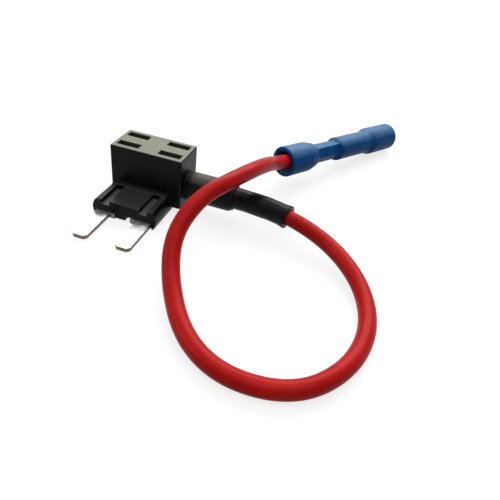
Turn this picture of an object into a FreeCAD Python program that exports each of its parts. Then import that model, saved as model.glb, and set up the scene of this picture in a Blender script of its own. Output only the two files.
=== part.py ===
import FreeCAD, Part
import math
import os

from FreeCAD import Vector

# Blade fuse tap: a slotted block for two fuses, a tongue with two blades, and a short lead
# that ends in a butt splice. Millimetres, +Z up. The origin is on the surface that the tap
# lies on, under the middle of the block. The blades point along -Y and the lead leaves
# the block along +X.

# fuse geometry shared by the slots, the contacts and the blades
fuse_pitch = 8.1
row_pitch = 3.9
slot_length = 4.3
slot_width = 1.6

# how far a cutter reaches past the face that it opens
over = 1.0

# block with the fuse slots
block_length = 14.0
block_width = 7.5
block_top = 11.2
block_lip = 1.45
block_edge_round = 0.3
block_wall = 0.5
top_skin = 1.0
well_length = 4.6
well_width = 2.4
well_floor = 2.5

# tongue that carries the blades, moulded in one with the block
tongue_centre = -1.1
tongue_reach = 6.3
tongue_top_width = 11.0
tongue_foot_width = 11.6
tongue_bulge = 0.6
tongue_thickness = 3.4
rail_width = 1.0
groove_width = 1.6
groove_depth = 0.85
groove_end_gap = 0.5
root_fillet = 1.0

# stamped terminals, folded double to the thickness of a fuse blade
stock = 0.4
blade_width = 2.8
blade_centre = -1.25
blade_length = 8.1
blade_bottom = 0.3
tip_chamfer = 0.5
shoulder_width = 1.15
shoulder_proud = 0.35
joggle_start = 0.65
joggle_run = 0.8
joggle_rise = 0.65
joggle_bend = 1.0
strip_play = 0.05
rib_width = 1.8

# cover that closes the underside behind the joggle
cover_play = 0.05

# spring contacts under the slots
leaf_width = 2.6
leaf_spread = 1.5
leaf_gap = 0.6
leaf_mouth = 1.4
leaf_waist = 6.4
leaf_pinch = 8.2
leaf_top = 9.7
leaf_bend = 0.5

# neck for the lead
neck_radius = 2.8
neck_length = 9.4
neck_tip_length = 0.9
neck_tip_radius = 2.4
neck_y = 0.4
neck_z = 4.5
bore_end_wall = 0.4

# lead
wire_diameter = 2.85
core_diameter = 1.6
core_play = 0.02
core_start = 8.9
cuff_wall = 0.6
cuff_play = 0.04
cuff_start = 2.4
cuff_length = 13.2
bore_play = 0.06

# crimp of the wire terminal
crimp_start = 8.5
crimp_length = 2.6
crimp_wall = 0.45
crimp_seam = 0.3
tab_height = 1.6
tab_overlap = 0.35
tab_play = 0.05

# butt splice at the end of the lead
splice_length = 38.0
splice_end_diameter = 6.3
splice_waist_diameter = 5.2
splice_wall = 0.65
splice_mouth_length = 6.8
splice_taper = 3.2
splice_far_taper = 2.2
splice_far_length = 8.2
barrel_length = 15.0
barrel_diameter = 3.86
barrel_bore_diameter = 2.3
barrel_play = 0.02
barrel_stop_length = 1.0
press_inset = 0.4
press_length = 6.4
press_across = 4.0
press_wall = 0.55
press_sides = 6
wire_insert = 8.0
core_tail = 8.5

# route of the lead, from inside the neck to inside the splice
share_of_run = 0.45
route_points = [
    (11.5, 0.4, 4.5),
    (20.0, 0.4, 4.5),
    (28.5, -1.2, 4.2),
    (36.5, -5.0, 3.2),
    (42.5, -11.5, 2.0),
    (45.0, -20.2, 1.45),
    (43.3, -29.2, 1.45),
    (37.0, -35.6, 1.45),
    (28.1, -37.1, 1.45),
    (20.0, -33.1, 1.55),
    (14.7, -24.9, 2.85),
    (12.2, -18.7, 7.0),
    (13.6, -11.9, 10.7),
    (17.5, -6.0, 12.1),
    (20.3, 4.6, 10.65),
    (20.5, 14.8, 6.05),
    (25.3, 23.0, 5.35),
]

# places that follow from the sizes above
blade_thickness = 2 * stock
block_front = -block_width / 2
block_back = block_width / 2
block_left = -block_length / 2
block_right = block_length / 2
tongue_front = block_front - tongue_reach
tongue_left = tongue_centre - tongue_top_width / 2
tongue_right = tongue_centre + tongue_top_width / 2
foot_left = tongue_centre - tongue_foot_width / 2
foot_right = tongue_centre + tongue_foot_width / 2
blade_left_x = blade_centre - fuse_pitch / 2
blade_right_x = blade_centre + fuse_pitch / 2
strip_left = blade_left_x - blade_width / 2
strip_right = blade_right_x + blade_width / 2
feed_inner = strip_left + blade_width + shoulder_width
circuit_inner = strip_right - blade_width - shoulder_width
rib_left = feed_inner + strip_play
pocket_left = strip_left - strip_play
pocket_right = strip_right + strip_play
joggle_front = tongue_front + joggle_start
joggle_back = joggle_front + joggle_run
joggle_turn = math.atan2(joggle_rise, joggle_run)
cover_top = blade_bottom + joggle_rise
cover_front = joggle_back + joggle_bend * math.tan(joggle_turn / 2)
cover_back = block_back - block_wall
wire_radius = wire_diameter / 2
core_radius = core_diameter / 2
cuff_bore = wire_radius + cuff_play
cuff_radius = cuff_bore + cuff_wall
neck_bore = cuff_radius + bore_play
waist_start = splice_mouth_length + splice_taper
far_mouth_start = splice_length - splice_far_length
waist_end = far_mouth_start - splice_far_taper
barrel_start = waist_start + press_inset
barrel_end = barrel_start + barrel_length
columns = [-fuse_pitch / 2, fuse_pitch / 2]
rows = [-row_pitch / 2, row_pitch / 2]
well_ends = [rows[0] + well_width / 2, rows[1] + well_width / 2]


def slab(x, y, z):
    """box between the low and high value of each axis"""
    corner = Vector(x[0], y[0], z[0])
    return Part.makeBox(x[1] - x[0], y[1] - y[0], z[1] - z[0], corner)


def about(centre, width):
    return (centre - width / 2, centre + width / 2)


def rod(start, direction, length, radius):
    return Part.makeCylinder(radius, length, start, direction)


def tangent_path(points, radius_at):
    """straight edges joined by arcs, tangent at both ends"""
    edges = []
    start = points[0]
    for before, corner, after in zip(points, points[1:], points[2:]):
        back = before - corner
        ahead = after - corner
        turn = math.pi - back.getAngle(ahead)
        shorter_run = min(back.Length, ahead.Length)
        radius = radius_at(shorter_run, turn)
        cut = radius * math.tan(turn / 2)
        back.normalize()
        ahead.normalize()
        inward = (back + ahead).normalize()
        first = corner + back * cut
        last = corner + ahead * cut
        middle = corner + inward * (math.hypot(cut, radius) - radius)
        edges.append(Part.LineSegment(start, first).toShape())
        edges.append(Part.Arc(first, middle, last).toShape())
        start = last
    edges.append(Part.LineSegment(start, points[-1]).toShape())
    return edges


def stretch(edges, start, end):
    """the part of a path between two lengths measured along it"""
    pieces = []
    passed = 0
    for edge in edges:
        first = max(start - passed, 0)
        last = min(end - passed, edge.Length)
        if last - first > 0.001:
            low = edge.getParameterByLength(first)
            high = edge.getParameterByLength(last)
            pieces.append(edge.Curve.toShape(low, high))
        passed += edge.Length
    return pieces


def tube(edges, radius):
    """round solid along a path that starts along +X"""
    start = edges[0].Vertexes[0].Point
    ring = Part.Wire(Part.makeCircle(radius, start, Vector(1, 0, 0)))
    return Part.Wire(edges).makePipeShell([ring], True, False)


def sheet_metal(points, thickness, bend):
    """face of bent sheet in the YZ plane, thickness to one side of its path"""
    path = Part.Wire(tangent_path(points, lambda run, turn: bend))
    return path.makeOffset2D(thickness, 2, True, True, False)


def tongue_section():
    """closed outline of the tongue at its front, with bulged sides"""
    y = tongue_front
    widest = tongue_thickness / 2
    bulge_left = (tongue_left + foot_left) / 2 - tongue_bulge
    bulge_right = (tongue_right + foot_right) / 2 + tongue_bulge
    top_left = Vector(tongue_left, y, tongue_thickness)
    top_right = Vector(tongue_right, y, tongue_thickness)
    low_left = Vector(foot_left, y, 0)
    low_right = Vector(foot_right, y, 0)
    edges = [
        Part.LineSegment(top_left, top_right).toShape(),
        Part.Arc(top_right, Vector(bulge_right, y, widest), low_right).toShape(),
        Part.LineSegment(low_right, low_left).toShape(),
        Part.Arc(low_left, Vector(bulge_left, y, widest), top_left).toShape(),
    ]
    return Part.Face(Part.Wire(edges))


def leaf(x, y, side, root):
    """one spring leaf; side is -1 or 1 across the slot"""
    points = [
        Vector(0, y + side * leaf_spread / 2, root),
        Vector(0, y + side * leaf_spread / 2, leaf_waist),
        Vector(0, y + side * leaf_gap / 2, leaf_pinch),
        Vector(0, y + side * leaf_mouth / 2, leaf_top),
    ]
    face = sheet_metal(points, stock, leaf_bend)
    if abs(face.BoundBox.Center.y - y) < abs(points[2].y - y):
        face = sheet_metal(points, -stock, leaf_bend)
    face.translate(Vector(x - leaf_width / 2, 0, 0))
    return face.extrude(Vector(leaf_width, 0, 0))


def contact(x, y, root):
    return leaf(x, y, -1, root).fuse(leaf(x, y, 1, root))


def strip_profile(back, bend):
    """edges of the underside of a blade and its strip, seen from the side"""
    tip = tongue_front - blade_length
    points = [
        Vector(0, tip, blade_bottom), Vector(0, joggle_front, blade_bottom),
        Vector(0, joggle_back, cover_top), Vector(0, back, cover_top),
    ]
    return tangent_path(points, lambda run, turn: bend)


def make_strip(blade_x, low_x, high_x, back):
    """blade and strip: a side profile, cut to its outline seen from above"""
    tip = tongue_front - blade_length
    left = blade_x - blade_width / 2
    right = blade_x + blade_width / 2
    shoulder = tongue_front - shoulder_proud
    line = Part.Wire(strip_profile(back, joggle_bend))
    side = line.makeOffset2D(blade_thickness, 2, True, True, False)
    if side.BoundBox.ZMin < blade_bottom - strip_play:
        side = line.makeOffset2D(-blade_thickness, 2, True, True, False)
    side.translate(Vector(low_x, 0, 0))
    solid = side.extrude(Vector(high_x - low_x, 0, 0))
    for x, before, after in ((low_x, low_x - over, left), (high_x, right, high_x + over)):
        solid = solid.cut(slab((before, after), (tip - over, shoulder), (-over, block_lip)))
    chosen = []
    for edge in solid.Edges:
        box = edge.BoundBox
        if box.YMax < tip + strip_play and box.XMax - box.XMin < strip_play and box.ZMax - box.ZMin > stock:
            chosen.append(edge)
    return solid.makeChamfer(tip_chamfer, chosen)


def narrow_foot():
    """room that a right contact leaves free beside its strip, below the well"""
    return slab((strip_right, block_right), (block_front, block_back), (0, well_floor + strip_play))


def make_feed_terminal():
    """left blade, joined to the left contacts of both fuses"""
    body = make_strip(blade_left_x, strip_left, feed_inner, well_ends[1])
    for y in rows:
        body = body.fuse(contact(columns[0], y, cover_top + stock))
    return body.removeSplitter()


def make_circuit_terminal():
    """right blade, joined to the right contact of the front fuse"""
    body = make_strip(blade_right_x, circuit_inner, strip_right, well_ends[0])
    leaves = contact(columns[1], rows[0], cover_top + stock).cut(narrow_foot())
    return body.fuse(leaves).removeSplitter()


def make_tap_terminal():
    """right contact of the back fuse, with the crimp that holds the lead"""
    x = columns[1]
    y = rows[1]
    span = leaf_spread + 2 * stock
    body = contact(x, y, cover_top)
    body = body.fuse(slab(about(x, leaf_width), about(y, span), (cover_top, cover_top + stock)))
    body = body.cut(narrow_foot())
    leaf_front = y - span / 2
    tab_x = (x + leaf_width / 2 - stock, crimp_start + tab_overlap)
    body = body.fuse(slab(tab_x, (leaf_front, leaf_front + stock), about(neck_z, tab_height)))
    start = Vector(crimp_start, neck_y, neck_z)
    along = Vector(1, 0, 0)
    hole = core_radius + core_play
    body = body.fuse(rod(start, along, crimp_length, hole + crimp_wall))
    body = body.cut(rod(start, along, crimp_length + over, hole))
    seam_x = (crimp_start + tab_overlap, crimp_start + crimp_length + over)
    seam = slab(seam_x, about(neck_y, crimp_seam), (neck_z, neck_z + neck_radius))
    return body.cut(seam).removeSplitter()


def make_cover():
    """flat cover on the underside, between the side walls of the tongue"""
    x = (pocket_left + cover_play, pocket_right - cover_play)
    return slab(x, (cover_front + cover_play, cover_back - cover_play), (0, cover_top))


def root_web():
    """hollow round where the tongue's top meets the block"""
    low = Vector(tongue_left, block_front - root_fillet, tongue_thickness)
    high = Vector(tongue_left, block_front, tongue_thickness + root_fillet)
    reach = root_fillet * (1 - math.sin(math.pi / 4))
    middle = Vector(tongue_left, block_front - reach, tongue_thickness + reach)
    inside = Vector(tongue_left, block_front + root_fillet, tongue_thickness)
    above = Vector(tongue_left, block_front + root_fillet, tongue_thickness + root_fillet)
    edges = [
        Part.Arc(low, middle, high).toShape(),
        Part.LineSegment(high, above).toShape(),
        Part.LineSegment(above, inside).toShape(),
        Part.LineSegment(inside, low).toShape(),
    ]
    return Part.Face(Part.Wire(edges)).extrude(Vector(tongue_top_width, 0, 0))


def make_tongue():
    """tongue with its rails and grooves, and the foot that runs on under the block"""
    body = tongue_section().extrude(Vector(0, block_back - tongue_front, 0))
    beside = slab((-block_length, block_left), (block_front, block_back + over), (-over, block_top))
    body = body.cut(beside).fuse(root_web())
    groove_y = (tongue_front - over, block_front - groove_end_gap)
    groove_z = (tongue_thickness - groove_depth, block_top)
    left_groove = tongue_left + rail_width
    right_groove = tongue_right - rail_width - groove_width
    for low in (left_groove, right_groove):
        body = body.cut(slab((low, low + groove_width), groove_y, groove_z))
    return body


def make_block():
    """block with rounded edges and the neck for the lead"""
    block = slab(about(0, block_length), about(0, block_width), (block_lip, block_top))
    rounded = [edge for edge in block.Edges if edge.CenterOfMass.z > block_lip]
    block = block.makeFillet(block_edge_round, rounded)
    along = Vector(1, 0, 0)
    root = Vector(block_right - block_wall, neck_y, neck_z)
    straight = neck_length - neck_tip_length
    neck = rod(root, along, straight + block_wall, neck_radius)
    tip_start = Vector(block_right + straight, neck_y, neck_z)
    tip = Part.makeCone(neck_radius, neck_tip_radius, neck_tip_length, tip_start, along)
    return block.fuse(neck.fuse(tip))


def strip_pocket(x, back):
    """room for a strip, open at the front, with the joggle in its ceiling"""
    ceiling = blade_thickness + strip_play
    shift = strip_play + ceiling * math.tan(joggle_turn / 2)
    points = [
        Vector(x[0], tongue_front - over, 0), Vector(x[0], tongue_front - over, blade_bottom + ceiling),
        Vector(x[0], joggle_front - shift, blade_bottom + ceiling),
        Vector(x[0], joggle_back - shift, cover_top + ceiling),
        Vector(x[0], back, cover_top + ceiling), Vector(x[0], back, 0),
    ]
    face = Part.Face(Part.makePolygon(points + [points[0]]))
    return face.extrude(Vector(x[1] - x[0], 0, 0))


def contact_room(x, y):
    """slot in the top, the well under it and the way down to the strip"""
    slot = slab(about(x, slot_length), about(y, slot_width), (block_top - 2 * top_skin, block_top + over))
    well = slab(about(x, well_length), about(y, well_width), (well_floor, block_top - top_skin))
    foot_x = (x - leaf_width / 2 - strip_play, min(x + leaf_width / 2, strip_right) + strip_play)
    foot = slab(foot_x, about(y, well_width + 2 * strip_play), (cover_top, well_floor + strip_play))
    return slot.fuse([well, foot])


def make_housing():
    """block, tongue and neck in one moulding, opened for the terminals and the lead"""
    body = make_block().fuse(make_tongue())
    across = (pocket_left, pocket_right)
    body = body.cut(slab(across, (tongue_front - over, cover_front), (-over, blade_bottom)))
    body = body.cut(slab(across, (cover_front, cover_back), (-over, cover_top)))
    body = body.cut(strip_pocket((pocket_left, rib_left), well_ends[1] + strip_play))
    body = body.cut(strip_pocket((rib_left + rib_width, pocket_right), well_ends[0] + strip_play))
    for x in columns:
        for y in rows:
            body = body.cut(contact_room(x, y))
    start = Vector(block_right + bore_end_wall, neck_y, neck_z)
    body = body.cut(rod(start, Vector(1, 0, 0), neck_length, neck_bore))
    tab_front = rows[1] - leaf_spread / 2 - stock - tab_play
    gate_x = (columns[1] + leaf_width / 2, block_right + 2 * bore_end_wall)
    gate_y = (tab_front, tab_front + stock + 2 * tab_play)
    body = body.cut(slab(gate_x, gate_y, about(neck_z, tab_height + 2 * tab_play)))
    return body.removeSplitter()


def turned(profile):
    """solid of revolution about X from points (distance along, radius)"""
    points = [Vector(x, 0, r) for x, r in profile]
    face = Part.Face(Part.makePolygon(points + [points[0]]))
    return face.revolve(Vector(0, 0, 0), Vector(1, 0, 0), 360)


def pressed(body, across):
    """closes a turned body to a six-sided section where the crimping tool gripped it"""
    corner = across / 2 / math.cos(math.pi / press_sides)
    points = []
    for i in range(press_sides):
        angle = 2 * math.pi * i / press_sides
        points.append(Vector(barrel_start, corner * math.cos(angle), corner * math.sin(angle)))
    jaws = Part.Face(Part.makePolygon(points + [points[0]])).extrude(Vector(press_length, 0, 0))
    zone = rod(Vector(barrel_start, 0, 0), Vector(1, 0, 0), press_length, splice_end_diameter)
    return body.cut(zone.cut(jaws))


def make_splice_barrel():
    """metal tube with a stop in the middle, crimped on the lead's side"""
    outer = barrel_diameter / 2
    stop = (barrel_start + barrel_end + barrel_stop_length) / 2
    body = turned([(barrel_start, 0), (barrel_start, outer), (barrel_end, outer), (barrel_end, 0)])
    body = pressed(body, press_across - 2 * press_wall - 2 * barrel_play)
    along = Vector(1, 0, 0)
    start = Vector(barrel_start, 0, 0)
    core_end = wire_insert + core_tail
    body = body.cut(rod(start, along, core_end - barrel_start, core_radius + core_play))
    return body.cut(rod(Vector(stop, 0, 0), along, barrel_end - stop, barrel_bore_diameter / 2))


def make_splice_sleeve():
    """insulating sleeve with open mouths at both ends, shrunk on to the barrel"""
    end = splice_end_diameter / 2
    waist = splice_waist_diameter / 2
    mouth = end - splice_wall
    seat = barrel_diameter / 2 + barrel_play
    outer = turned([
        (0, 0), (0, end), (splice_mouth_length, end), (waist_start, waist),
        (waist_end, waist), (far_mouth_start, end), (splice_length, end), (splice_length, 0),
    ])
    inner = turned([
        (0, 0), (0, mouth), (splice_mouth_length, mouth), (waist_start, seat),
        (waist_end, seat), (far_mouth_start, mouth), (splice_length, mouth), (splice_length, 0),
    ])
    return pressed(outer, press_across).cut(pressed(inner, press_across - 2 * press_wall))


def splice_placement(points):
    """stands the splice on the last run of the lead"""
    along = (points[-1] - points[-2]).normalize()
    up = Vector(0, 0, 1)
    across = up.cross(along).normalize()
    turn = FreeCAD.Rotation(along, across, along.cross(across), "XZY")
    return FreeCAD.Placement(points[-1] - along * wire_insert, turn)


def write(name, shape):
    shape.exportStep("parts/" + name + ".step")
    print(name, "solids", len(shape.Solids), "valid", shape.isValid(), "volume", round(shape.Volume, 2))


def main():
    os.makedirs("parts", exist_ok=True)
    points = [Vector(*p) for p in route_points]
    radii = []

    def cord_radius(run, turn):
        radii.append(share_of_run * run / math.tan(turn / 2))
        return radii[-1]

    route = tangent_path(points, cord_radius)
    print("radii", [round(r, 1) for r in radii])
    insulation = tube(route, wire_radius)
    lead_length = sum(edge.Length for edge in route)
    print("lead length", round(lead_length, 1), "volume share",
          round(insulation.Volume / (lead_length * math.pi * wire_radius ** 2), 4))
    along = (points[-1] - points[-2]).normalize()
    tail = points[-1] + along * core_tail
    core_route = [Part.LineSegment(Vector(core_start, neck_y, neck_z), points[0]).toShape()]
    core_route += route
    core_route.append(Part.LineSegment(points[-1], tail).toShape())
    core = tube(core_route, core_radius)
    insulation = insulation.cut(tube(route, core_radius + core_play))
    cuff_route = stretch(route, cuff_start, cuff_start + cuff_length)
    cuff = tube(cuff_route, cuff_radius).cut(tube(cuff_route, cuff_bore))
    placement = splice_placement(points)
    barrel = make_splice_barrel()
    sleeve = make_splice_sleeve()
    for piece in (barrel, sleeve):
        piece.Placement = placement
    print("splice rests at", round(sleeve.BoundBox.ZMin, 3))
    write("housing", make_housing())
    write("base_cover", make_cover())
    write("feed_terminal", make_feed_terminal())
    write("circuit_terminal", make_circuit_terminal())
    write("tap_terminal", make_tap_terminal())
    write("lead_core", core)
    write("lead_insulation", insulation)
    write("lead_cuff", cuff)
    write("splice_barrel", barrel)
    write("splice_sleeve", sleeve)


main()
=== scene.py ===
import bmesh
import bpy
import math
from mathutils import Matrix, Vector


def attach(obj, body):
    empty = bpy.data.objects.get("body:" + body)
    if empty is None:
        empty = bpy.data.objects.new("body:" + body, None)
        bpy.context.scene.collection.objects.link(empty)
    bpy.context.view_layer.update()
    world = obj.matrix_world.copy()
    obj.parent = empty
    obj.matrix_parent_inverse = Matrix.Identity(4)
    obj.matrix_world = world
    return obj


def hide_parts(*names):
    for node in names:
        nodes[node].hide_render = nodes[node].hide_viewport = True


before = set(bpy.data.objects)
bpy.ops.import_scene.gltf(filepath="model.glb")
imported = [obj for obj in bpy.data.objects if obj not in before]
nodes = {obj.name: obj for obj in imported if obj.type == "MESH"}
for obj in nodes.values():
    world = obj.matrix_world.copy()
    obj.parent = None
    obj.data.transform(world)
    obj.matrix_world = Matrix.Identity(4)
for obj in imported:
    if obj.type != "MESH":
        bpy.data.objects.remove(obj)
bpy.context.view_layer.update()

MM = 0.001
scene = bpy.context.scene

# the lead's route, as in the part's source, in metres; six points round the loop stand up to
# 0.6 mm off the source's, which follows the photograph better
ROUTE = [
    (0.0115, 0.0004, 0.0045),
    (0.0200, 0.0004, 0.0045),
    (0.0285, -0.0012, 0.0042),
    (0.0365, -0.0050, 0.0032),
    (0.0425, -0.0115, 0.0020),
    (0.0450, -0.0202, 0.00145),
    (0.0431, -0.0292, 0.00145),
    (0.0373, -0.0359, 0.00145),
    (0.0281, -0.0370, 0.00145),
    (0.0206, -0.0330, 0.00155),
    (0.0148, -0.0250, 0.00285),
    (0.0122, -0.0187, 0.0070),
    (0.0138, -0.0120, 0.0107),
    (0.0175, -0.0060, 0.0121),
    (0.0203, 0.0046, 0.01065),
    (0.0205, 0.0148, 0.00605),
    (0.0253, 0.0230, 0.00535),
]
WIRE_DIAMETER = 2.85 * MM
CORE_DIAMETER = 1.6 * MM
ALONG_NECK = Vector((1, 0, 0))

# butt splice, measured along its axis from the near mouth: sizes of the part's source, apart from
# a shorter near mouth and a longer and deeper press, which follow the photograph better
SPLICE_LENGTH = 38.0 * MM
SPLICE_END_RADIUS = 3.15 * MM
SPLICE_WAIST_RADIUS = 2.6 * MM
SPLICE_WALL = 0.65 * MM
NEAR_HOLE_RADIUS = 2.25 * MM  # the near mouth has a thicker lip than in the source
MOUTH_LENGTH = 6.0 * MM
WAIST_START = 9.2 * MM
WAIST_END = 27.6 * MM
FAR_MOUTH_START = 29.8 * MM
PRESS_START = 9.5 * MM
PRESS_END = 16.8 * MM
PRESS_ACROSS = 3.6 * MM
PRESS_LEAD_IN = 0.9 * MM
PRESS_LEAD_OUT = 0.1 * MM
PRESS_EDGE = 0.3 * MM
PRESS_CORNER_SHARE = 0.97  # how much of the waist's radius the hexagon's corners keep
BARREL_ACROSS = 2.9 * MM
BARREL_SEAT_RADIUS = 1.95 * MM
WIRE_INSERT = 8.0 * MM
SPLICE_AXIS = (Vector(ROUTE[-1]) - Vector(ROUTE[-2])).normalized()
SPLICE_MOUTH = Vector(ROUTE[-1]) - SPLICE_AXIS * WIRE_INSERT
SLEEVE_STEPS = 150
RIM_STEPS = 8

# shrunk tube where the lead leaves the neck, measured along the lead
CUFF_START = 2.4 * MM
CUFF_LENGTH = 13.2 * MM
CUFF_RADIUS = 2.065 * MM
CUFF_WALL = 0.6 * MM
CUFF_STEPS = 90
NECK_DEPTH = 2.7 * MM
CREASES_SET_IN = 1.5 * MM  # length past the neck over which they grow
FLARE = 0.10 * MM
FLARE_LENGTH = 1.6 * MM
FLARE_INSIDE_SHARE = 0.4
CREASE_HEIGHT = 0.022 * MM
CREASE_SINK = 0.01 * MM
CREASE_PITCH = 2.1  # radians for each millimetre, as the other pitches
CREASE_BEND = 3
CREASE_TURN_PITCH = 0.7
SWELL_HEIGHT = 0.02 * MM
SWELL_PITCH = 0.9
SWELL_PHASE = 1.2

# bare ends of the core
STRANDS = 7
STRAND_STEPS = 40
STRAND_SIDES = 12
STRAND_PITCH = 0.5  # radians for each millimetre
CRIMP_STRANDS_LENGTH = 2.6 * MM
CORE_TAIL = 8.5 * MM
RING_SIDES = 96

# places on the moulding, in millimetres, between which the painted light of the block's top, the
# slots, the grooves and the neck passes into the plain colour
BLOCK_TOP_Z = (11.12, 11.19)
SLOT_DEPTH_Z = (7.5, 11.0)
SLOT_REACH_X = 6.4
SLOT_REACH_Y = 3.3
GROOVE_FLOOR_Z = (2.6, 3.0)
NECK_START_X = (7.6, 8.2)
NECK_FADE_X = (10.5, 13.5)
NECK_FADE_REST = 0.25

# linear colours; a pair is what the noise mixes
NYLON = ((0.002, 0.002, 0.0018), (0.0045, 0.0042, 0.004))
# painted light: faces that face up are lighter grey, standing in for the light from above
NYLON_UP_PAINTED_LIGHT = ((0.03, 0.031, 0.03), (0.048, 0.049, 0.046))
# painted reflection: the block's top face is olive grey, standing in for a bright light above and
# behind
NYLON_TOP_PAINTED_LIGHT = ((0.215, 0.22, 0.16), (0.27, 0.275, 0.208))
# painted light in the slots: their walls are lighter near the top and darken with depth
NYLON_SLOT_PAINTED_LIGHT = (0.075, 0.075, 0.055)
# painted light: the groove floors are lightened against the shade that falls in them
NYLON_GROOVE_PAINTED_LIGHT = (0.12, 0.12, 0.115)
# painted highlight along the top of the neck
NYLON_NECK_PAINTED_HIGHLIGHT = (0.105, 0.1, 0.075)
# painted highlight along the edges of the moulding
NYLON_EDGE_PAINTED_HIGHLIGHT = (0.15, 0.15, 0.14)
TIN = (0.93, 0.93, 0.92)
TIN_SPOT_SHARE = 0.9
TIN_SHEARED = (0.16, 0.125, 0.1)
COPPER = ((0.80, 0.42, 0.26), (0.62, 0.28, 0.15))
RED = ((0.46, 0.006, 0.005), (0.57, 0.011, 0.009))
TUBE_BLACK = ((0.002, 0.002, 0.002), (0.005, 0.005, 0.005))
BLUE = ((0.0, 0.06, 0.225), (0.0, 0.086, 0.3))
# painted highlight: a lighter, greyer blue on what faces up
BLUE_PAINTED_HIGHLIGHT = ((0.085, 0.2, 0.37), (0.125, 0.25, 0.43))

# camera, fitted to the photograph
CAMERA_PLACE = (0.03772, -0.07667, 0.05372)
CAMERA_RIGHT = (0.9469, 0.3005, 0.1145)
CAMERA_UP = (-0.2710, 0.5542, 0.7870)
CAMERA_BACK = (0.1731, -0.7763, 0.6062)
CAMERA_LENS = 36.03
CAMERA_SENSOR = 36

# floor, world and lamps
FLOOR_HALF = 3.0
FLOOR_DROP = 0.02 * MM
FLOOR_GREY = 0.3
FLOOR_GLOW = 0.78
WORLD_LIGHT = 0.15
WORLD_SEEN = 1.0
WORLD_GLOSS = 0.55
LAMP_TARGET = (0.02, 0.0, 0.005)
LAMPS = [  # name, place, size, power
    ("top_back", (-0.02, 0.35, 0.34), (0.5, 0.3), 2.1),
    ("top", (0.05, -0.05, 0.6), (0.6, 0.6), 1.6),
    ("left", (-0.5, -0.2, 0.3), (0.3, 0.3), 0.5),
]


class Shader:
    """a node material, built one node at a time"""

    def __init__(self, name):
        self.material = bpy.data.materials.new(name)
        self.material.use_nodes = True
        self.tree = self.material.node_tree
        self.surface = self.tree.nodes["Principled BSDF"]

    def node(self, kind, **settings):
        made = self.tree.nodes.new("ShaderNode" + kind)
        for name, value in settings.items():
            if name in made.inputs:
                made.inputs[name].default_value = value
            else:
                setattr(made, name, value)
        return made

    def link(self, output, target):
        self.tree.links.new(output, target)

    def plain(self, **values):
        """sets constants on the surface's own sockets"""
        for name, value in values.items():
            self.surface.inputs[name.replace("_", " ")].default_value = value

    def position(self, scale=(1, 1, 1)):
        """object coordinates in millimetres, stretched by scale"""
        place = self.node("TexCoord")
        mapping = self.node("Mapping")
        mapping.inputs["Scale"].default_value = [s / MM for s in scale]
        self.link(place.outputs["Object"], mapping.inputs["Vector"])
        return mapping.outputs["Vector"]

    def noise(self, vector, scale, detail=3.0):
        made = self.node("TexNoise", Scale=scale, Detail=detail)
        self.link(vector, made.inputs["Vector"])
        return made.outputs["Fac"]

    def spread(self, factor, low, high, start=0.35, end=0.65):
        """maps a noise to a value between low and high"""
        made = self.node("MapRange")
        made.inputs["From Min"].default_value = start
        made.inputs["From Max"].default_value = end
        made.inputs["To Min"].default_value = low
        made.inputs["To Max"].default_value = high
        self.link(factor, made.inputs["Value"])
        return made.outputs["Result"]

    def mix(self, factor, first, second):
        """colour mix; first and second are colours or sockets"""
        made = self.node("Mix", data_type="RGBA")
        self.link(factor, made.inputs["Factor"])
        for value, socket in ((first, made.inputs[6]), (second, made.inputs[7])):
            if isinstance(value, tuple):
                socket.default_value = (*value, 1)
            else:
                self.link(value, socket)
        return made.outputs[2]

    def varied(self, noise, colours):
        """two colours, mixed by a noise"""
        return self.mix(self.spread(noise, 0.0, 1.0), *colours)

    def paint(self, colour):
        self.link(colour, self.surface.inputs["Base Color"])

    def rough(self, noise, low, high):
        """roughness that a noise varies between low and high"""
        self.link(self.spread(noise, low, high), self.surface.inputs["Roughness"])

    def bump(self, height, strength, distance):
        """adds a bump on top of those that the surface has"""
        made = self.node("Bump", Strength=strength, Distance=distance)
        self.link(height, made.inputs["Height"])
        normal = self.surface.inputs["Normal"]
        if normal.is_linked:
            self.link(normal.links[0].from_socket, made.inputs["Normal"])
        self.link(made.outputs["Normal"], normal)

    def soften(self, radius):
        """rounds the shading of edges, and returns 1 on the edges and 0 on the faces"""
        bevel = self.node("Bevel", samples=6, Radius=radius)
        self.link(bevel.outputs["Normal"], self.surface.inputs["Normal"])
        geometry = self.node("NewGeometry")
        agree = self.node("VectorMath", operation="DOT_PRODUCT")
        self.link(bevel.outputs["Normal"], agree.inputs[0])
        self.link(geometry.outputs["Normal"], agree.inputs[1])
        return self.spread(agree.outputs["Value"], 1.0, 0.0, start=0.8, end=0.99)

    def facing_up(self, start, end):
        """1 where the surface faces up, 0 where it is steep"""
        geometry = self.node("NewGeometry")
        split = self.node("SeparateXYZ")
        self.link(geometry.outputs["Normal"], split.inputs[0])
        return self.spread(split.outputs["Z"], 0.0, 1.0, start, end)

    def within(self, value, limit):
        """1 where a coordinate lies between -limit and limit"""
        size = self.node("Math", operation="ABSOLUTE")
        self.link(value, size.inputs[0])
        inside = self.node("Math", operation="LESS_THAN")
        self.link(size.outputs[0], inside.inputs[0])
        inside.inputs[1].default_value = limit
        return inside.outputs[0]

    def times(self, first, second):
        made = self.node("Math", operation="MULTIPLY")
        self.link(first, made.inputs[0])
        self.link(second, made.inputs[1])
        return made.outputs[0]


def give(piece, shader):
    """one material on all of a piece"""
    piece.data.materials.clear()
    piece.data.materials.append(shader.material)


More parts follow.
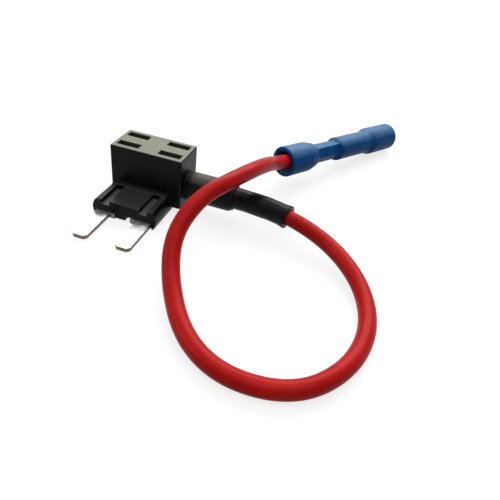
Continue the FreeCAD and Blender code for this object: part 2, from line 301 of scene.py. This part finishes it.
def housing_plastic():
    """black nylon: fine moulded grain, with painted highlights on its edges and painted light on
    what faces up, on the block's top, in the slots, on the groove floors and on the neck
    """
    s = Shader("black_nylon")
    s.plain(Specular_IOR_Level=0.1)
    # the edge mask carries a painted highlight along the edges
    edge_highlight_share = s.soften(radius=0.16 * MM)
    place = s.position()
    cloud = s.noise(place, scale=0.35, detail=4.0)
    grain = s.noise(place, scale=9.0, detail=2.0)
    specks = s.noise(place, scale=2.6, detail=5.0)
    # mask of the painted light on faces that face up
    up = s.facing_up(start=0.6, end=0.97)
    split = s.node("SeparateXYZ")
    s.link(place, split.inputs[0])
    x, y, z = split.outputs
    inner = s.times(s.within(x, SLOT_REACH_X), s.within(y, SLOT_REACH_Y))
    # mask of the painted light inside the slots, strongest at their mouths and fading with depth
    slot_painted_light = s.times(inner, s.spread(z, 0.0, 1.0, *SLOT_DEPTH_Z))
    # mask of the painted reflection on the block's top face
    top_painted_light = s.spread(z, 0.0, 1.0, *BLOCK_TOP_Z)
    # mask of the painted light on the groove floors
    groove_painted_light = s.times(up, s.spread(z, 1.0, 0.0, *GROOVE_FLOOR_Z))
    # mask of the painted highlight on the up-facing side of the neck, fading along it
    neck_painted_highlight = s.times(up, s.spread(x, 0.0, 1.0, *NECK_START_X))
    neck_painted_highlight = s.times(neck_painted_highlight, s.spread(x, 1.0, NECK_FADE_REST, *NECK_FADE_X))
    body = s.varied(cloud, NYLON)
    # painted light on every face that faces up
    body = s.mix(up, body, s.varied(specks, NYLON_UP_PAINTED_LIGHT))
    # painted light inside the slots
    body = s.mix(slot_painted_light, body, NYLON_SLOT_PAINTED_LIGHT)
    # painted light on the groove floors
    body = s.mix(groove_painted_light, body, NYLON_GROOVE_PAINTED_LIGHT)
    # painted highlight on the neck
    body = s.mix(neck_painted_highlight, body, NYLON_NECK_PAINTED_HIGHLIGHT)
    # painted reflection over the block's top face
    body = s.mix(top_painted_light, body, s.varied(specks, NYLON_TOP_PAINTED_LIGHT))
    # painted highlight on the edges, varied by the noise
    body = s.mix(s.times(edge_highlight_share, s.spread(cloud, 0.3, 0.8)), body, NYLON_EDGE_PAINTED_HIGHLIGHT)
    s.paint(body)
    s.rough(cloud, low=0.3, high=0.42)
    s.bump(grain, strength=0.25, distance=0.03 * MM)
    return s


def plated_metal():
    """tin plate with rolling lines, browner on the sheared edges"""
    s = Shader("tin_plate")
    s.plain(Metallic=1.0)
    s.soften(radius=0.06 * MM)
    place = s.position(scale=(1, 0.08, 1))
    lines = s.noise(place, scale=6.0)
    spots = s.noise(s.position(), scale=1.1, detail=4.0)
    geometry = s.node("NewGeometry")
    split = s.node("SeparateXYZ")
    s.link(geometry.outputs["Normal"], split.inputs[0])
    upright = s.node("Math", operation="ABSOLUTE")
    s.link(split.outputs["Z"], upright.inputs[0])
    flat = s.spread(upright.outputs[0], 0.0, 1.0, start=0.5, end=0.8)
    bright = s.varied(spots, (TIN, tuple(TIN_SPOT_SHARE * c for c in TIN)))
    s.paint(s.mix(flat, TIN_SHEARED, bright))
    s.rough(lines, low=0.3, high=0.42)
    s.bump(lines, strength=0.04, distance=0.01 * MM)
    return s


def copper_strands():
    """bare copper, darker in spots"""
    s = Shader("copper_strands")
    s.plain(Metallic=1.0)
    spots = s.noise(s.position(), scale=3.0)
    s.paint(s.varied(spots, COPPER))
    s.rough(spots, low=0.25, high=0.4)
    return s


def red_vinyl():
    """extruded insulation: slight draw marks and a soft gloss"""
    s = Shader("red_vinyl")
    s.plain(Specular_IOR_Level=0.08, Coat_Weight=0.03, Coat_Roughness=0.15)
    place = s.position()
    cloud = s.noise(place, scale=0.18)
    fine = s.noise(place, scale=4.0)
    s.paint(s.varied(cloud, RED))
    s.rough(fine, low=0.3, high=0.42)
    s.bump(fine, strength=0.12, distance=0.02 * MM)
    s.bump(cloud, strength=0.2, distance=0.1 * MM)
    return s


def shrunk_tube():
    """black shrunk tubing: shinier than the moulding, with fine creases"""
    s = Shader("shrunk_tube")
    s.plain(Specular_IOR_Level=0.11)
    place = s.position()
    crease = s.noise(place, scale=1.3, detail=4.0)
    wrinkle = s.noise(place, scale=3.2)
    fine = s.noise(place, scale=7.0, detail=2.0)
    s.paint(s.varied(crease, TUBE_BLACK))
    s.rough(fine, low=0.24, high=0.36)
    s.bump(crease, strength=0.3, distance=0.12 * MM)
    s.bump(wrinkle, strength=0.3, distance=0.08 * MM)
    s.bump(fine, strength=0.15, distance=0.02 * MM)
    return s


def blue_sleeve():
    """blue splice sleeve: semi-gloss, slightly cloudy, with a painted highlight, a lighter and
    greyer blue, where it faces up
    """
    s = Shader("blue_sleeve")
    s.plain(Specular_IOR_Level=0.03, Coat_Weight=0.1, Coat_Roughness=0.25)
    place = s.position()
    cloud = s.noise(place, scale=0.5)
    fine = s.noise(place, scale=5.0)
    body = s.varied(cloud, BLUE)
    top_highlight = s.varied(cloud, BLUE_PAINTED_HIGHLIGHT)
    # painted highlight on what faces up
    s.paint(s.mix(s.facing_up(start=0.5, end=1.0), body, top_highlight))
    s.rough(fine, low=0.34, high=0.5)
    s.bump(cloud, strength=0.15, distance=0.1 * MM)
    s.bump(fine, strength=0.12, distance=0.03 * MM)
    return s


def make_wire(shader):
    """the insulated lead, one NURBS spline through the route's control points"""
    data = bpy.data.curves.new("lead_wire", "CURVE")
    data.dimensions = "3D"
    data.bevel_depth = WIRE_DIAMETER / 2
    data.bevel_resolution = 10
    data.resolution_u = 24
    data.use_fill_caps = True
    spline = data.splines.new("NURBS")
    spline.points.add(len(ROUTE) - 1)
    for point, place in zip(spline.points, ROUTE):
        point.co = (*place, 1)
    spline.order_u = 3
    spline.use_endpoint_u = True
    wire = bpy.data.objects.new("lead_wire", data)
    scene.collection.objects.link(wire)
    data.materials.append(shader.material)
    return wire


def centreline(wire):
    """points of the wire's spline, read from the curve without its bevel"""
    copy = wire.copy()
    copy.data = wire.data.copy()
    copy.data.bevel_depth = 0
    scene.collection.objects.link(copy)
    bpy.context.view_layer.update()
    evaluated = copy.evaluated_get(bpy.context.evaluated_depsgraph_get())
    mesh = bpy.data.meshes.new_from_object(evaluated)
    points = [vertex.co.copy() for vertex in mesh.vertices]
    bpy.data.objects.remove(copy)
    return points


def new_piece(name, mesh, shader, slot, *replaced):
    piece = bpy.data.objects.new(name, mesh)
    scene.collection.objects.link(piece)
    give(piece, shader)
    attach(piece, "root")
    if replaced:
        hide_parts(*replaced)
    return piece


def rings_mesh(name, rings, closed_loop=False):
    """skin over rings of points; a closed loop joins the last ring to the first"""
    mesh = bpy.data.meshes.new(name)
    count = len(rings[0])
    vertices = [point for ring in rings for point in ring]
    faces = []
    last = len(rings) if closed_loop else len(rings) - 1
    for i in range(last):
        a = i * count
        b = ((i + 1) % len(rings)) * count
        for j in range(count):
            k = (j + 1) % count
            faces.append((a + j, a + k, b + k, b + j))
    if not closed_loop:
        faces.append(tuple(reversed(range(count))))
        faces.append(tuple(range((len(rings) - 1) * count, len(rings) * count)))
    mesh.from_pydata(vertices, [], faces)
    mesh.validate()
    work = bmesh.new()
    work.from_mesh(mesh)
    bmesh.ops.recalc_face_normals(work, faces=work.faces)
    work.to_mesh(mesh)
    work.free()
    mesh.shade_smooth()
    return mesh


def frame_at(tangent):
    """two directions across a path that isn't upright"""
    side = Vector((0, 0, 1)).cross(tangent).normalized()
    return side, tangent.cross(side)


def ring(centre, tangent, radius_at, count=RING_SIDES):
    """points round a centre; radius_at gives the radius for an angle"""
    side, up = frame_at(tangent)
    points = []
    for i in range(count):
        angle = 2 * math.pi * i / count
        radius = radius_at(angle)
        across = side * (radius * math.cos(angle))
        points.append(centre + across + up * (radius * math.sin(angle)))
    return points


def ease(value, start, end):
    """smooth step from 0 to 1 between start and end"""
    t = min(max((value - start) / (end - start), 0.0), 1.0)
    return t * t * (3 - 2 * t)


def six_sided(angle, across):
    """radius of a hexagon with flats above and below"""
    return across / 2 / math.cos(angle % (math.pi / 3) - math.pi / 6)


def sleeve_radius(s, angle, end, waist, across):
    """radius of the splice sleeve's outer or inner skin"""
    near = 1 - ease(s, MOUTH_LENGTH, WAIST_START)
    far = ease(s, WAIST_END, FAR_MOUTH_START)
    round_radius = waist + (end - waist) * max(near, far)
    grip = ease(s, PRESS_START - PRESS_LEAD_IN, PRESS_START + PRESS_EDGE)
    grip *= 1 - ease(s, PRESS_END - PRESS_LEAD_OUT, PRESS_END + PRESS_EDGE)
    closed = min(six_sided(angle, across), waist * PRESS_CORNER_SHARE)
    return round_radius + (closed - round_radius) * grip


def make_sleeve(shader):
    """blue sleeve with rounded rims, a wall and a crimped waist"""
    outer_end = SPLICE_END_RADIUS
    inner_end = outer_end - SPLICE_WALL
    rim = SPLICE_WALL / 2
    length = SPLICE_LENGTH - 2 * rim
    places = [rim + length * i / SLEEVE_STEPS for i in range(SLEEVE_STEPS + 1)]
    rings = []

    def add(s, radius_at):
        rings.append(ring(SPLICE_MOUTH + SPLICE_AXIS * s, SPLICE_AXIS, radius_at))

    def skin(s, end, waist, across):
        add(s, lambda angle: sleeve_radius(s, angle, end, waist, across))

    def rim_turn(s, side, hole):
        middle = (outer_end + hole) / 2
        half = (outer_end - hole) / 2
        for k in range(1, RIM_STEPS):
            t = math.pi * k / RIM_STEPS
            radius = middle + side * half * math.cos(t)
            add(s + side * rim * math.sin(t), lambda angle: radius)

    for s in places:
        skin(s, outer_end, SPLICE_WAIST_RADIUS, PRESS_ACROSS)
    rim_turn(places[-1], 1, inner_end)
    for s in reversed(places):
        hole = inner_end if s > SPLICE_LENGTH / 2 else NEAR_HOLE_RADIUS
        skin(s, hole, BARREL_SEAT_RADIUS, BARREL_ACROSS)
    rim_turn(places[0], -1, NEAR_HOLE_RADIUS)
    mesh = rings_mesh("splice_body", rings, closed_loop=True)
    return new_piece("splice_body", mesh, shader, "splice_plastic", "splice_sleeve")


def walk(points, start, length, steps):
    """places and tangents at even steps along a line of points"""
    marks = [start + length * i / steps for i in range(steps + 1)]
    found = []
    passed = 0.0
    i = 0
    for mark in marks:
        while passed + (points[i + 1] - points[i]).length < mark:
            passed += (points[i + 1] - points[i]).length
            i += 1
        step = points[i + 1] - points[i]
        found.append((points[i] + step * ((mark - passed) / step.length), step.normalized()))
    return found


def make_cuff(line, shader):
    """shrunk tube on the lead: creased, and cut square at its end"""
    stations = walk(line, CUFF_START, CUFF_LENGTH, CUFF_STEPS)
    outer, inner = [], []
    for i, (centre, tangent) in enumerate(stations):
        s = CUFF_LENGTH * i / CUFF_STEPS
        along = s / MM
        free = ease(s, NECK_DEPTH, NECK_DEPTH + CREASES_SET_IN)
        flare = FLARE * ease(s, CUFF_LENGTH - FLARE_LENGTH, CUFF_LENGTH)
        swell = SWELL_HEIGHT * math.sin(along * SWELL_PITCH + SWELL_PHASE)
        hole = CUFF_RADIUS - CUFF_WALL + flare * FLARE_INSIDE_SHARE

        def radius_at(angle):
            crease = math.sin(along * CREASE_PITCH + CREASE_BEND * math.sin(angle))
            crease *= math.sin(2 * angle + along * CREASE_TURN_PITCH)
            lift = free * (CREASE_HEIGHT * crease + swell - CREASE_SINK)
            return CUFF_RADIUS + flare + lift

        outer.append(ring(centre, tangent, radius_at))
        inner.append(ring(centre, tangent, lambda angle: hole))
    mesh = rings_mesh("shrunk_cuff", outer + inner[::-1], closed_loop=True)
    return new_piece("shrunk_cuff", mesh, shader, "cuff_plastic", "lead_cuff")


def make_strands(name, start, direction, length, shader):
    """bare end of the lead: one straight strand and six twisted round it"""
    side, up = frame_at(direction)
    strand_radius = CORE_DIAMETER / 6
    work = bmesh.new()
    for k in range(STRANDS):
        offset = 0.0 if k == 0 else 2 * strand_radius
        rings = []
        for i in range(STRAND_STEPS + 1):
            s = length * i / STRAND_STEPS
            angle = math.tau * k / (STRANDS - 1) + s / MM * STRAND_PITCH
            centre = start + direction * s + side * (offset * math.cos(angle))
            centre += up * (offset * math.sin(angle))
            rings.append(ring(centre, direction, lambda a: strand_radius, STRAND_SIDES))
        work.from_mesh(rings_mesh("strand", rings))
    mesh = bpy.data.meshes.new(name)
    work.to_mesh(mesh)
    work.free()
    mesh.shade_smooth()
    return new_piece(name, mesh, shader, "copper")


def make_camera():
    data = bpy.data.cameras.new("camera")
    data.sensor_width = CAMERA_SENSOR
    data.lens = CAMERA_LENS
    data.clip_start = 0.001
    data.clip_end = 10
    camera = bpy.data.objects.new("camera", data)
    turn = Matrix((CAMERA_RIGHT, CAMERA_UP, CAMERA_BACK)).transposed().to_4x4()
    camera.matrix_world = Matrix.Translation(CAMERA_PLACE) @ turn
    scene.collection.objects.link(camera)
    scene.camera = camera


def make_floor():
    """white floor: a little light of its own for the camera keeps it white outside shadows"""
    mesh = bpy.data.meshes.new("floor")
    corners = [(x * FLOOR_HALF, y * FLOOR_HALF, 0) for x, y in ((-1, -1), (1, -1), (1, 1), (-1, 1))]
    mesh.from_pydata(corners, [], [(0, 1, 2, 3)])
    floor = bpy.data.objects.new("floor", mesh)
    floor.location.z = -FLOOR_DROP
    scene.collection.objects.link(floor)
    s = Shader("floor_paper")
    s.plain(Roughness=0.9, Specular_IOR_Level=0.0)
    s.plain(Base_Color=(FLOOR_GREY, FLOOR_GREY, FLOOR_GREY, 1), Emission_Color=(1, 1, 1, 1))
    path = s.node("LightPath")
    seen = s.node("Math", operation="MAXIMUM")
    s.link(path.outputs["Is Camera Ray"], seen.inputs[0])
    s.link(path.outputs["Is Glossy Ray"], seen.inputs[1])
    glow = s.node("Math", operation="MULTIPLY")
    s.link(seen.outputs[0], glow.inputs[0])
    glow.inputs[1].default_value = FLOOR_GLOW
    s.link(glow.outputs[0], s.surface.inputs["Emission Strength"])
    give(floor, s)


def make_world():
    """white for the camera, and dimmer as a light and in reflections"""
    world = bpy.data.worlds.new("studio")
    scene.world = world
    world.use_nodes = True
    tree = world.node_tree
    background = tree.nodes["Background"]
    background.inputs["Color"].default_value = (1, 1, 1, 1)
    path = tree.nodes.new("ShaderNodeLightPath")
    strength = tree.nodes.new("ShaderNodeMapRange")
    strength.inputs["To Min"].default_value = WORLD_LIGHT
    strength.inputs["To Max"].default_value = WORLD_SEEN
    tree.links.new(path.outputs["Is Camera Ray"], strength.inputs["Value"])
    shine = tree.nodes.new("ShaderNodeMath")
    shine.operation = "MULTIPLY_ADD"
    tree.links.new(path.outputs["Is Glossy Ray"], shine.inputs[0])
    shine.inputs[1].default_value = WORLD_GLOSS
    tree.links.new(strength.outputs["Result"], shine.inputs[2])
    tree.links.new(shine.outputs[0], background.inputs["Strength"])


def make_lamp(name, place, size, power):
    """area lamp that shines on the part"""
    data = bpy.data.lights.new(name, "AREA")
    data.shape = "RECTANGLE"
    data.size, data.size_y = size
    data.energy = power
    lamp = bpy.data.objects.new(name, data)
    lamp.location = place
    lamp.rotation_mode = "QUATERNION"
    aim = Vector(LAMP_TARGET) - Vector(place)
    lamp.rotation_quaternion = aim.to_track_quat("-Z", "Y")
    scene.collection.objects.link(lamp)


scene.view_settings.view_transform = "Standard"
make_camera()
make_floor()
make_world()
for lamp in LAMPS:
    make_lamp(*lamp)

plastic = housing_plastic()
tin = plated_metal()
give(nodes["housing"], plastic)
give(nodes["base_cover"], plastic)
for name in ("feed_terminal", "circuit_terminal", "tap_terminal", "splice_barrel"):
    give(nodes[name], tin)
copper = copper_strands()

wire = make_wire(red_vinyl())
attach(wire, "root")
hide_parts("lead_insulation", "lead_core")
line = centreline(wire)
cuff = make_cuff(line, shrunk_tube())
sleeve = make_sleeve(blue_sleeve())
core_start, core_end = Vector(ROUTE[0]), Vector(ROUTE[-1])
make_strands("crimp_strands", core_start, -ALONG_NECK, CRIMP_STRANDS_LENGTH, copper)
splice_strands = make_strands("splice_strands", core_end, SPLICE_AXIS, CORE_TAIL, copper)
